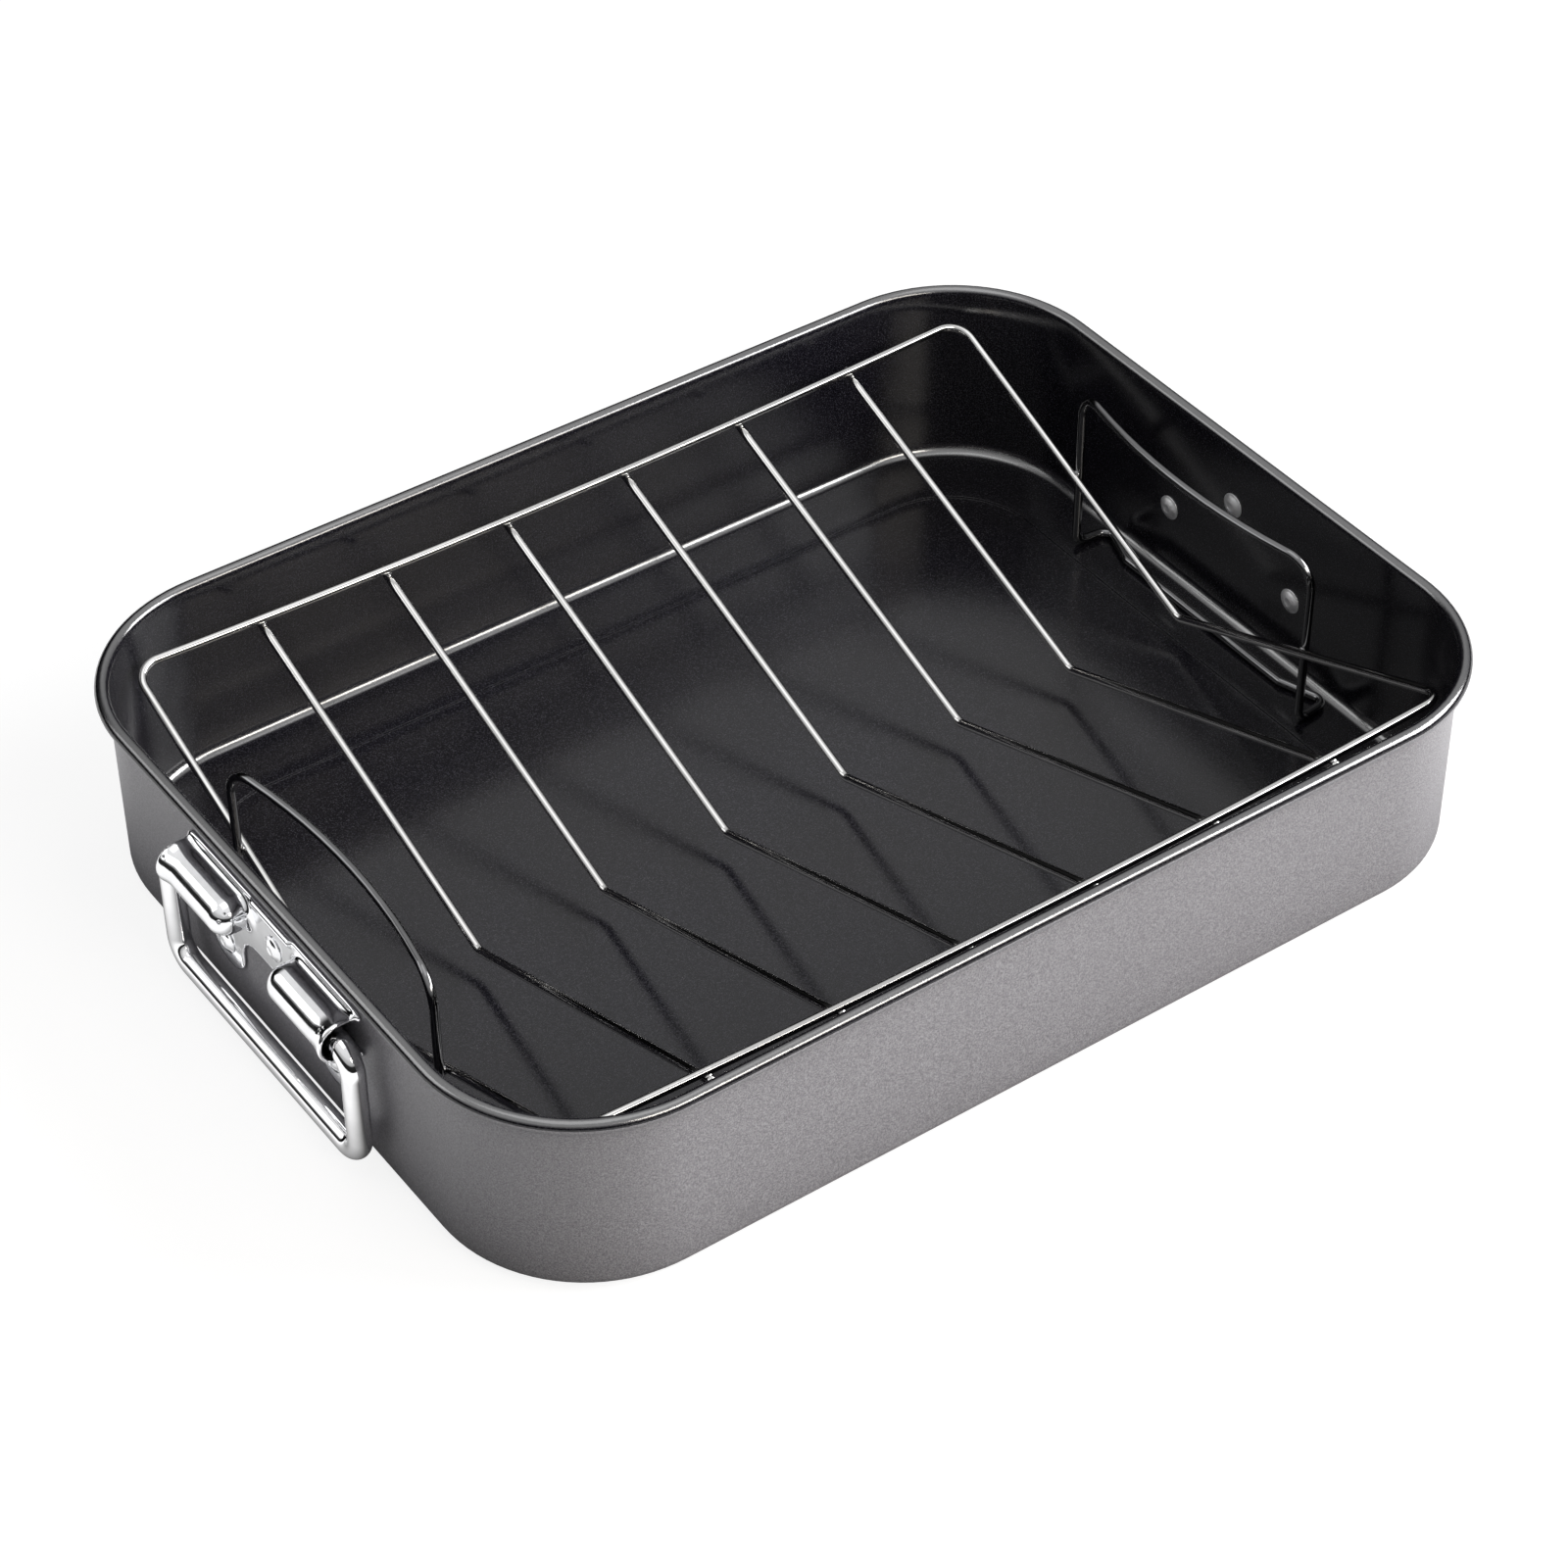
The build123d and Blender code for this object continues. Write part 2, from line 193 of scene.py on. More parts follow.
def interior_coating():
    """Near-black non-stick coat: a blurred gloss with fine speckle."""
    m, t, bsdf, at = new_material("coating_inside")
    grain = noise(t, at, 1500.0, 2.0, 0.6)
    fleck = noise(t, at, 2600.0, 1.0, 0.5)
    cloud = noise(t, at, 14.0, 3.0, 0.55)
    base = ramp(t, grain, [(0.32, (0.0015, 0.0015, 0.0035)), (0.52, (0.0080, 0.0076, 0.0120)),
                           (0.72, (0.032, 0.031, 0.040))])
    base = mix_colour(t, spread(t, fleck, 0.60, 0.78, 0.0, 0.6), base, (0.115, 0.112, 0.125))
    base = mix_colour(t, spread(t, cloud, 0.40, 0.75, 0.0, 0.35), base,
                      (0.011, 0.0095, 0.0085))
    t.links.new(base, bsdf.inputs["Base Color"])
    rough = add(t, spread(t, grain, 0.3, 0.7, 0.13, 0.20),
                spread(t, cloud, 0.3, 0.7, -0.02, 0.03))
    t.links.new(rough, bsdf.inputs["Roughness"])
    # The coat is burnished at the rim's crest and the foot of the wall
    xyz = t.nodes.new("ShaderNodeSeparateXYZ")
    t.links.new(at, xyz.inputs[0])
    crest = spread(t, xyz.outputs[2], 0.0757, 0.0763, 0.0, 0.5)
    foot = combine(t, "MINIMUM", spread(t, xyz.outputs[2], 0.0019, 0.0023, 0.0, 0.5),
                   spread(t, xyz.outputs[2], 0.0050, 0.0060, 0.5, 0.0))
    polish = combine(t, "MAXIMUM", crest, foot)
    # and dull where it gathers on the panel's step
    step = combine(t, "MINIMUM", spread(t, xyz.outputs[2], 0.00102, 0.00112, 0.0, 0.42),
                   spread(t, xyz.outputs[2], 0.00168, 0.00178, 0.42, 0.0))
    ior = combine(t, "SUBTRACT", spread(t, polish, 0.0, 0.5, 1.5, 2.6), step)
    t.links.new(ior, bsdf.inputs["IOR"])
    bump(t, bsdf, add(t, grain, fleck), 0.09, 0.0002)
    return m


def chrome(name, colour, low, high, ripple, ripple_scale):
    """Bright plating over metal that isn't quite true, with faint hairlines and dull patches."""
    m, t, bsdf, at = new_material(name)
    patch = noise(t, at, 55.0, 3.0, 0.6)
    hair = noise(t, stretched(t, at, (1.0, 0.12, 1.0)), 2400.0, 2.0, 0.6)
    wave = noise(t, at, ripple_scale, 1.0, 0.4)
    dull = tuple(c * 0.86 for c in colour)
    base = mix_colour(t, spread(t, patch, 0.35, 0.75, 0.0, 1.0), colour, dull)
    t.links.new(base, bsdf.inputs["Base Color"])
    bsdf.inputs["Metallic"].default_value = 1.0
    rough = add(t, spread(t, patch, 0.3, 0.7, low, high),
                spread(t, hair, 0.4, 0.8, 0.0, 0.05))
    t.links.new(rough, bsdf.inputs["Roughness"])
    bump(t, bsdf, wave, ripple, 0.001)
    return m


MAT_OUT = exterior_coating()
MAT_IN = interior_coating()
MAT_BRACKET = chrome("plating_bracket", (0.92, 0.925, 0.94), 0.05, 0.13, 0.05, 160.0)
MAT_BAIL = chrome("plating_bail", (0.93, 0.93, 0.94), 0.03, 0.07, 0.03, 90.0)
MAT_RACK = chrome("plating_rack", (0.60, 0.595, 0.59), 0.05, 0.10, 0.02, 300.0)
MAT_STAND = chrome("plating_stand", (0.20, 0.20, 0.205), 0.06, 0.12, 0.02, 300.0)
MAT_RIVET = chrome("rivet_metal", (0.96, 0.96, 0.97), 0.44, 0.56, 0.10, 500.0)


# Mesh helpers
def mesh_object(name, verts, faces, materials, indices=None):
    """A smooth-shaded mesh object from points in millimetres."""
    me = bpy.data.meshes.new(name)
    points = (np.asarray(verts, float) * MM).tolist()
    me.from_pydata(points, [], [list(map(int, f)) for f in faces])
    me.validate()
    for m in materials:
        me.materials.append(m)
    if indices is not None:
        me.polygons.foreach_set("material_index", np.asarray(indices, np.int32))
    me.polygons.foreach_set("use_smooth", [True] * len(me.polygons))
    me.update()
    ob = bpy.data.objects.new(name, me)
    scene.collection.objects.link(ob)
    return ob


def stand_for(ob, body, slot, *nodes):
    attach(ob, body)
    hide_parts(*nodes)
    return ob


class Shell:
    """Collects points and faces of one piece."""

    def __init__(self):
        self.verts, self.faces, self.count = [], [], 0

    def add(self, verts, faces):
        self.verts.append(np.asarray(verts, float))
        self.faces += [[i + self.count for i in f] for f in faces]
        self.count += len(verts)

    def object(self, name, materials):
        return mesh_object(name, np.concatenate(self.verts), self.faces, materials)


def bent_path(points, radii, closed, step=4.0, long_step=9.0, straight_step=12.0):
    """A polyline with round bends, as points close enough to look smooth."""
    pts = [np.array(p, float) for p in points]
    n = len(pts)
    corners = range(n) if closed else range(1, n - 1)
    out = [] if closed else [pts[0]]
    for k, r in zip(corners, radii):
        a, b, c = pts[k - 1], pts[k], pts[(k + 1) % n]
        u, v = (a - b) / np.linalg.norm(a - b), (c - b) / np.linalg.norm(c - b)
        half = math.acos(max(-1.0, min(1.0, float(u @ v)))) / 2
        cut = r / math.tan(half)
        bis = (u + v) / np.linalg.norm(u + v)
        centre = b + bis * r / math.sin(half)
        turn = math.pi - 2 * half
        steps = max(4, int(math.ceil(math.degrees(turn) / step)), int(r * turn / long_step))
        e1 = (b + u * cut) - centre
        e1 /= np.linalg.norm(e1)
        e2 = -u - e1 * float(-u @ e1)
        e2 /= np.linalg.norm(e2)
        for i in range(steps + 1):
            w = turn * i / steps
            out.append(centre + r * (math.cos(w) * e1 + math.sin(w) * e2))
    if not closed:
        out.append(pts[-1])
    # Straight runs get points too, so that a long wire has even faces
    dense = []
    total = out + ([out[0]] if closed else [])
    for a, b in zip(total[:-1], total[1:]):
        length = float(np.linalg.norm(b - a))
        parts = max(1, int(length / straight_step))
        dense += [a + (b - a) * i / parts for i in range(parts)]
    if not closed:
        dense.append(total[-1])
    return np.array(dense)


def tube(path, radius, closed, sides=20, chamfer=0.0):
    """A round rod along a path, without twist. Open ends are closed with a small chamfer."""
    n = len(path)
    if closed:
        tangent = np.roll(path, -1, 0) - np.roll(path, 1, 0)
    else:
        tangent = np.gradient(path, axis=0)
    tangent /= np.linalg.norm(tangent, axis=1)[:, None]
    ref = np.array([0.0, 0.0, 1.0]) if abs(tangent[0][2]) < 0.9 else np.array([1.0, 0.0, 0.0])
    normal = ref - tangent[0] * (ref @ tangent[0])
    normals = [normal / np.linalg.norm(normal)]
    for k in range(1, n):
        v = normals[-1] - tangent[k] * (normals[-1] @ tangent[k])
        normals.append(v / np.linalg.norm(v))
    normals = np.array(normals)
    if closed:
        last = normals[-1] - tangent[0] * (normals[-1] @ tangent[0])
        last /= np.linalg.norm(last)
        cross = np.cross(last, normals[0]) @ tangent[0]
        twist = math.atan2(cross, float(last @ normals[0]))
        for k in range(n):
            w = twist * k / n
            bi = np.cross(tangent[k], normals[k])
            normals[k] = math.cos(w) * normals[k] + math.sin(w) * bi
    binormal = np.cross(tangent, normals)
    ang = np.linspace(0, 2 * math.pi, sides, endpoint=False)
    rings = [(path[k], normals[k], binormal[k], radius) for k in range(n)]
    if not closed:
        front = [(path[0], normals[0], binormal[0], radius - chamfer),
                 (path[0] + tangent[0] * chamfer, normals[0], binormal[0], radius)]
        back = [(path[-1] - tangent[-1] * chamfer, normals[-1], binormal[-1], radius),
                (path[-1], normals[-1], binormal[-1], radius - chamfer)]
        rings = front + rings[1:-1] + back
    verts = []
    for p, a, b, r in rings:
        verts += [p + r * (math.cos(w) * a + math.sin(w) * b) for w in ang]
    faces = []
    count = len(rings)
    for k in range(count if closed else count - 1):
        j = (k + 1) % count
        for s in range(sides):
            q = (s + 1) % sides
            faces.append([k * sides + s, k * sides + q, j * sides + q, j * sides + s])
    if not closed:
        faces.append(list(range(sides))[::-1])
        faces.append([(count - 1) * sides + s for s in range(sides)])
    return verts, faces


def bead(centre, radii, rows=8, sides=16):
    """A small egg of metal, for a weld."""
    middle, pole = np.array(centre, float), np.array([0, 0, radii[2]])
    verts = [middle + pole]
    for i in range(1, rows):
        a = math.pi * i / rows
        for s in range(sides):
            w = 2 * math.pi * s / sides
            verts.append(middle + np.array([radii[0] * math.sin(a) * math.cos(w),
                                            radii[1] * math.sin(a) * math.sin(w),
                                            radii[2] * math.cos(a)]))
    verts.append(middle - pole)
    faces = []
    for s in range(sides):
        q = (s + 1) % sides
        faces.append([0, 1 + s, 1 + q])
        for i in range(rows - 2):
            a = 1 + i * sides
            faces.append([a + s, a + sides + s, a + sides + q, a + q])
        a = 1 + (rows - 2) * sides
        faces.append([a + s, len(verts) - 1, a + q])
    return verts, faces


# The pan
def ring(half_x, half_y, radius, z, per_corner=22, along_x=26, along_y=18):
    """Points of a rounded rectangle, always the same number in the same order."""
    pts = []
    cx, cy = half_x - radius, half_y - radius
    # Centre of the corner before each side, the side's start and end, and its points
    sides = [((cx, -cy), (half_x, -cy), (half_x, cy), along_y),
             ((cx, cy), (cx, half_y), (-cx, half_y), along_x),
             ((-cx, cy), (-half_x, cy), (-half_x, -cy), along_y),
             ((-cx, -cy), (-cx, -half_y), (cx, -half_y), along_x)]
    for k, (_, start, end, count) in enumerate(sides):
        for i in range(count):
            s = i / count
            x = start[0] + (end[0] - start[0]) * s
            pts.append((x, start[1] + (end[1] - start[1]) * s, z))
        centre = sides[(k + 1) % 4][0]
        a0 = k * 90.0
        for i in range(per_corner):
            a = math.radians(a0 + 90.0 * i / per_corner)
            pts.append((centre[0] + radius * math.cos(a), centre[1] + radius * math.sin(a), z))
    return pts


def offset_ring(out, z):
    return ring(WALL_X + out, WALL_Y + out, WALL_CORNER + out, z)


def between(t, z):
    """A ring of the floor: t is 0 at the start of the wall's bend and 1 at the panel's edge."""
    a = (WALL_X - FLOOR_BEND, WALL_Y - FLOOR_BEND, WALL_CORNER - FLOOR_BEND)
    b = (PANEL_X, PANEL_Y, PANEL_CORNER)
    return ring(*[p + (q - p) * t for p, q in zip(a, b)], z)


def panel_ring(inset, z):
    return ring(PANEL_X - inset, PANEL_Y - inset, PANEL_CORNER - inset, z)


def step_rings(depth_at, inset_shift):
    """The panel's sloping step, softly rounded at its top and bottom."""
    return [panel_ring(inset + inset_shift, depth_at - drop) for inset, drop in STEP_PROFILE]


def build_pan():
    """Rings from the underside's middle, round the rim and back to the panel, then faces."""
    rows, marks = [], []

    def put(row, inside):
        rows.append(row)
        marks.append(inside)

    # Underside, from the middle outward
    for inset in (32.0, 18.0, 6.0):
        put(panel_ring(inset, 0.0), 0)
    for row in step_rings(PANEL_DEPTH, 0.0)[::-1]:
        put(row, 0)
    for t in (0.75, 0.5, 0.25):
        put(between(t, PANEL_DEPTH), 0)
    for i in range(9):
        a = math.radians(-90 + 90 * i / 8)
        out = -FLOOR_BEND + FLOOR_BEND * math.cos(a)
        put(offset_ring(out, PANEL_DEPTH + FLOOR_BEND + FLOOR_BEND * math.sin(a)), 0)
    top = PAN_HEIGHT - CURL
    rise = top - PANEL_DEPTH - FLOOR_BEND
    for i in range(1, 7):
        put(offset_ring(0.0, PANEL_DEPTH + FLOOR_BEND + rise * i / 7), 0)
    # Inside of the curl, round its open end, and back over the outside
    centre = CURL - SHEET
    inner = CURL - SHEET
    for i in range(17):
        a = math.radians(CURL_START - CURL_TURN * i / 16)
        put(offset_ring(centre + inner * math.cos(a), top + inner * math.sin(a)), 0)
    end = math.radians(CURL_END)
    for share in (0.25, 0.75):
        r = CURL - SHEET + SHEET * share
        lean = 0.25 * math.sin(math.pi * share) / r
        put(offset_ring(centre + r * math.cos(end - lean), top + r * math.sin(end - lean)), 1)
    for i in range(25):
        turned = CURL_END + CURL_TURN * i / 24
        a = math.radians(turned)
        row = offset_ring(centre + CURL * math.cos(a), top + CURL * math.sin(a))
        put(row, 1 if turned > COAT_EDGE else 0)
    floor_in = PANEL_DEPTH + SHEET
    bend_in = FLOOR_BEND - SHEET
    for i in range(1, 8):
        put(offset_ring(-SHEET, top + (floor_in + bend_in - top) * i / 8), 1)
    for i in range(9):
        a = math.radians(-90.0 * i / 8)
        height = floor_in + bend_in + bend_in * math.sin(a)
        put(offset_ring(-FLOOR_BEND + bend_in * math.cos(a), height), 1)
    for t in (0.25, 0.5, 0.75):
        put(between(t, floor_in), 1)
    for row in step_rings(floor_in, 0.4):
        put(row, 1)
    for inset in (6.0, 18.0, 32.0):
        put(panel_ring(inset, floor_in - PANEL_DEPTH), 1)
    n = len(rows[0])
    faces, indices = [], []
    for k in range(len(rows) - 1):
        for i in range(n):
            j = (i + 1) % n
            faces.append([k * n + i, k * n + j, (k + 1) * n + j, (k + 1) * n + i])
            indices.append(max(marks[k], marks[k + 1]))
    faces.append(list(range(n))[::-1])
    indices.append(0)
    faces.append([(len(rows) - 1) * n + i for i in range(n)])
    indices.append(1)
    verts = np.array(rows, float).reshape(-1, 3)
    return mesh_object("pan_shell", verts, faces, [MAT_OUT, MAT_IN], indices)


pan = build_pan()
stand_for(pan, "pan", "coated_steel", "pan_body")


# The brackets
def arc_outline(points, radii):
    """The bracket's half outline as points, from rounded corners."""
    path = [np.array(p, float) for p in points]
    out = [path[0]]
    for k, r in enumerate(radii, start=1):
        a, b, c = path[k - 1], path[k], path[k + 1]
        u, v = (a - b) / np.linalg.norm(a - b), (c - b) / np.linalg.norm(c - b)
        half = math.acos(float(u @ v)) / 2
        cut = r / math.tan(half)
        bis = (u + v) / np.linalg.norm(u + v)
        centre = b + bis * r / math.sin(half)
        s, e = b + u * cut - centre, b + v * cut - centre
        a0, a1 = math.atan2(s[1], s[0]), math.atan2(e[1], e[0])
        turn = (a1 - a0 + math.pi) % (2 * math.pi) - math.pi
        for i in range(9):
            w = a0 + turn * i / 8
            out.append(centre + r * np.array([math.cos(w), math.sin(w)]))
    out.append(path[-1])
    return np.array(out)


HALF = arc_outline(
    [(0, 64.0), (54.0, 64.0), (54.0, 44.6), (44.5, 44.6), (44.5, 19.0), (23.5, 19.0),
     (23.5, 39.5), (0, 39.5)],
    [3.0, 4.0, 4.0, 9.0, 9.0, 10.0])
OUTLINE = np.concatenate([HALF, (HALF * [-1, 1])[::-1][1:-1]])


def outline_distance(y, z):
    """Signed distance in the wall's plane to the bracket's outline, negative inside."""
    p = np.stack([y, z], -1)
    best = np.full(y.shape, 1e9)
    inside = np.zeros(y.shape, bool)
    n = len(OUTLINE)
    for k in range(n):
        a, b = OUTLINE[k], OUTLINE[(k + 1) % n]
        ab = b - a
        t = np.clip(((p - a) @ ab) / max(float(ab @ ab), 1e-9), 0, 1)
        d = p - (a + t[..., None] * ab)
        best = np.minimum(best, (d ** 2).sum(-1))
        cross = (a[1] > z) != (b[1] > z)
        if abs(ab[1]) > 1e-9:
            at = a[0] + (z - a[1]) / ab[1] * ab[0]
            inside ^= cross & (y < at)
    d = np.sqrt(best)
    return np.where(inside, -d, d)


def smooth_min(a, b, k):
    h = np.clip(0.5 + 0.5 * (b - a) / k, 0, 1)
    return b + (a - b) * h - k * h * (1 - h)


def smooth_max(a, b, k):
    return -smooth_min(-a, -b, k)


def bracket_distance(o, y, z, outline=None):
    """Signed distance to the stamped bracket. o is the distance outward from the wall."""
    if outline is None:
        outline = outline_distance(y, z)
    side = np.abs(y)
    # The plate, with rounded edges
    w0 = outline + PLATE_EDGE
    w1 = np.abs(o - BRACKET_SHEET / 2) - BRACKET_SHEET / 2 + PLATE_EDGE
    rounded = np.sqrt(np.maximum(w0, 0) ** 2 + np.maximum(w1, 0) ** 2)
    plate = rounded + np.minimum(np.maximum(w0, w1), 0) - PLATE_EDGE
    # The hoods: domed at their inner ends, flared at their open ones, and hollow
    flare = np.clip((side - FLARE_Y) / FLARE_RUN, 0, 1) ** 2
    tube_r = HOOD_R + (HOOD_LIP_R - HOOD_R) * flare
    proud = np.maximum(o - AXIS_OUT, 0)
    dz = z - HOOD_Z
    inward = np.minimum(side - HOOD_DOME_Y, 0)
    reach = np.sqrt(proud ** 2 + dz ** 2 + inward ** 2)
    outer = smooth_max(reach - tube_r, side - HOOD_MOUTH_Y, 0.5)
    outer = smooth_max(outer, -o, 0.3)
    body = smooth_min(plate, outer, 2.6)
    body = np.maximum(body, -o)
    hollow = reach - (tube_r - BRACKET_SHEET)
    body = smooth_max(body, -hollow, 0.5)
    # The rolled tab at the top
    lip_y = np.maximum(side - TOP_LIP_Y, 0)
    lip = np.sqrt((o - TOP_LIP_OUT) ** 2 + (z - TOP_LIP_Z) ** 2 + lip_y ** 2) - TOP_LIP_R
    return smooth_min(body, lip, 0.7)


def surface_net(distance, low, high, pitch):
    """A quad mesh of a distance field's surface, each point then moved onto the surface."""
    axes = [np.arange(l, h + pitch, pitch) for l, h in zip(low, high)]
    o, y, z = np.meshgrid(*axes, indexing="ij")
    flat = outline_distance(*np.meshgrid(axes[1], axes[2], indexing="ij"))
    f = distance(o, y, z, np.broadcast_to(flat, o.shape))
    inside = f < 0
    nx, ny, nz = f.shape
    corners = [(i, j, k) for i in (0, 1) for j in (0, 1) for k in (0, 1)]
    cell = [inside[i:nx - 1 + i, j:ny - 1 + j, k:nz - 1 + k] for i, j, k in corners]
    total = sum(c.astype(np.int8) for c in cell)
    active = (total > 0) & (total < 8)
    index = np.full(active.shape, -1, np.int64)
    index[active] = np.arange(int(active.sum()))
    ci, cj, ck = np.nonzero(active)
    points = np.zeros((len(ci), 3))
    weight = np.zeros(len(ci))
    for a in range(8):
        for b in range(a + 1, 8):
            da = np.array(corners[a])
            db = np.array(corners[b])
            if int(np.abs(da - db).sum()) != 1:
                continue
            fa = f[ci + da[0], cj + da[1], ck + da[2]]
            fb = f[ci + db[0], cj + db[1], ck + db[2]]
            hit = (fa < 0) != (fb < 0)
            t = np.where(hit, fa / np.where(hit, fa - fb, 1.0), 0.0)
            pos = da[None, :] + t[:, None] * (db - da)[None, :]
            points += pos * hit[:, None]
            weight += hit
    points = (np.stack([ci, cj, ck], 1) + points / weight[:, None]) * pitch + np.array(low)
    for _ in range(4):
        h = 0.02
        d = distance(*points.T)
        g = np.stack([(distance(*(points + h * e).T) - distance(*(points - h * e).T)) / (2 * h)
                      for e in np.eye(3)], 1)
        size = np.maximum((g ** 2).sum(1), 0.25)
        points = points - np.clip(d / size, -0.3 * pitch, 0.3 * pitch)[:, None] * g
    faces = []
    for axis in range(3):
        step = np.zeros(3, int)
        step[axis] = 1
        a = inside[:nx - step[0], :ny - step[1], :nz - step[2]]
        b = inside[step[0]:, step[1]:, step[2]:]
        ei, ej, ek = np.nonzero(a != b)
        forward = a[ei, ej, ek]
        u, v = [(1, 2), (2, 0), (0, 1)][axis]
        eu, ev = np.eye(3, dtype=int)[u], np.eye(3, dtype=int)[v]
        base = np.stack([ei, ej, ek], 1)
        quad = [base - eu - ev, base - ev, base, base - eu]
        ok = (base[:, u] > 0) & (base[:, v] > 0)
        ok &= (base[:, u] < active.shape[u]) & (base[:, v] < active.shape[v])
        base, forward = base[ok], forward[ok]
        quad = [q[ok] for q in quad]
        ids = np.stack([index[q[:, 0], q[:, 1], q[:, 2]] for q in quad], 1)
        good = (ids >= 0).all(1)
        ids, fwd = ids[good], forward[good]
        ids = np.where(fwd[:, None], ids, ids[:, ::-1])
        faces.append(ids)
    return points, np.concatenate(faces)


PITCH = 0.75
NET_LOW, NET_HIGH = (-0.9, -58.6, 17.4), (16.6, 58.6, 65.6)
shape, quads = surface_net(bracket_distance, NET_LOW, NET_HIGH, PITCH)
for side, end in ((1, "right"), (-1, "left")):
    pts = shape.copy()
    pts[:, 0] = side * (WALL_X + pts[:, 0])
    order = quads if side == 1 else quads[:, ::-1]
    piece = mesh_object(f"bracket_{end}", pts, order, [MAT_BRACKET])
    stand_for(piece, "pan", "bracket_chrome", f"handle_bracket_{end}")


# The bails
for side, end in ((1, "right"), (-1, "left")):
    x = side * (WALL_X + AXIS_OUT)
    path = bent_path([(x, ROD_END_Y, AXIS_Z), (x, ARM_Y, AXIS_Z), (x, ARM_Y, BAR_Z),
                      (x, -ARM_Y, BAR_Z), (x, -ARM_Y, AXIS_Z), (x, -ROD_END_Y, AXIS_Z)],
                     [ARM_BEND, BAR_BEND, BAR_BEND, ARM_BEND], False)
    s = Shell()
    s.add(*tube(path, ROD_R, False, 40, 0.6))
    rod = s.object(f"bail_rod_{end}", [MAT_BAIL])
    stand_for(rod, f"{end}_bail", "bail_chrome", f"bail_{end}")


# The rivets
def rivet_profile():
    """Radius and height above the seat, from the rim of the head to its middle."""
    crown = (RIVET_HEAD_R ** 2 + RIVET_HEAD_H ** 2) / (2 * RIVET_HEAD_H)
    rows = [(0.0, 0.0), (4.45, 0.0), (4.68, 0.06), (4.78, 0.22), (4.72, 0.42)]
    for r in (4.4, 3.9, 3.3, 2.7, 2.2, 1.85):
        rows.append((r, RIVET_HEAD_H - crown + math.sqrt(crown ** 2 - r ** 2)))
    rows += [(1.62, 1.72), (1.38, 1.64), (1.10, 1.55), (0.7, 1.50), (0.0, 1.48)]
    return rows


def rivet_head(base, out, sides=40):
    """One domed head with a soft dimple. base is the seat's middle, out is +1 or -1 along X."""
    rows = rivet_profile()
    verts, faces = [], []
    for r, h in rows[1:-1]:
        for k in range(sides):
            a = 2 * math.pi * k / sides
            verts.append((base[0] + out * h, base[1] + r * math.cos(a), base[2] + r * math.sin(a)))
    n = len(rows) - 2
    for k in range(n - 1):
        for i in range(sides):
            j = (i + 1) % sides
            q = [k * sides + i, k * sides + j, (k + 1) * sides + j, (k + 1) * sides + i]
            faces.append(q if out > 0 else q[::-1])
    verts.append((base[0] + out * rows[-1][1], base[1], base[2]))
    for i in range(sides):
        j = (i + 1) % sides
        q = [(n - 1) * sides + i, (n - 1) * sides + j, len(verts) - 1]
        faces.append(q if out > 0 else q[::-1])
    seat = list(range(sides))
    faces.append(seat[::-1] if out > 0 else seat)
    return verts, faces


for side, end in ((1, "right"), (-1, "left")):
    for place, (y, z) in RIVETS.items():
        s = Shell()
        outer = (side * (WALL_X + BRACKET_SHEET), y, z)
        inner = (side * (WALL_X - SHEET), y, z)
        s.add(*rivet_head(outer, side))
        s.add(*rivet_head(inner, -side))
        s.add(*tube(np.array([inner, outer]), RIVET_SHANK_R, False, 24, 0.0))
        heads = s.object(f"rivet_heads_{end}_{place}", [MAT_RIVET, MAT_BRACKET])
        # The head on the bracket is plated with it, the one inside the pan is plain
        for face in heads.data.polygons:
            face.material_index = int(abs(face.center.x) > WALL_X * MM)
        stand_for(heads, "pan", "rivet_steel", f"rivet_{end}_{place}")


# The rack
def bowed(half_span, bow, straight):
    """How far out a corner stands, and its radius, for a wire that bows between straight ends."""
    offset = 2 * bow
    for _ in range(20):
        slope = math.atan2(offset, half_span)
        radius = (half_span / math.cos(slope) - straight) / math.tan(slope)
        offset = bow + radius * (1 / math.cos(slope) - 1)
    return offset, radius


rail_drop, rail_radius = bowed(FRAME_X, SAG, 18.0)
frame_path = bent_path(
    [(FRAME_X, FRAME_Y, CORNER_Z), (FRAME_X, 0, VALLEY_Z), (FRAME_X, -FRAME_Y, CORNER_Z),
     (0, -FRAME_Y, CORNER_Z - rail_drop),
     (-FRAME_X, -FRAME_Y, CORNER_Z), (-FRAME_X, 0, VALLEY_Z), (-FRAME_X, FRAME_Y, CORNER_Z),
     (0, FRAME_Y, CORNER_Z - rail_drop)],
    [CORNER_BEND, VALLEY_BEND, CORNER_BEND, rail_radius] * 2, True)
s = Shell()
s.add(*tube(frame_path, WIRE_R, True, 24))
stand_for(s.object("rack_rails", [MAT_RACK]), "rack", "rack_chrome", "rack_frame")

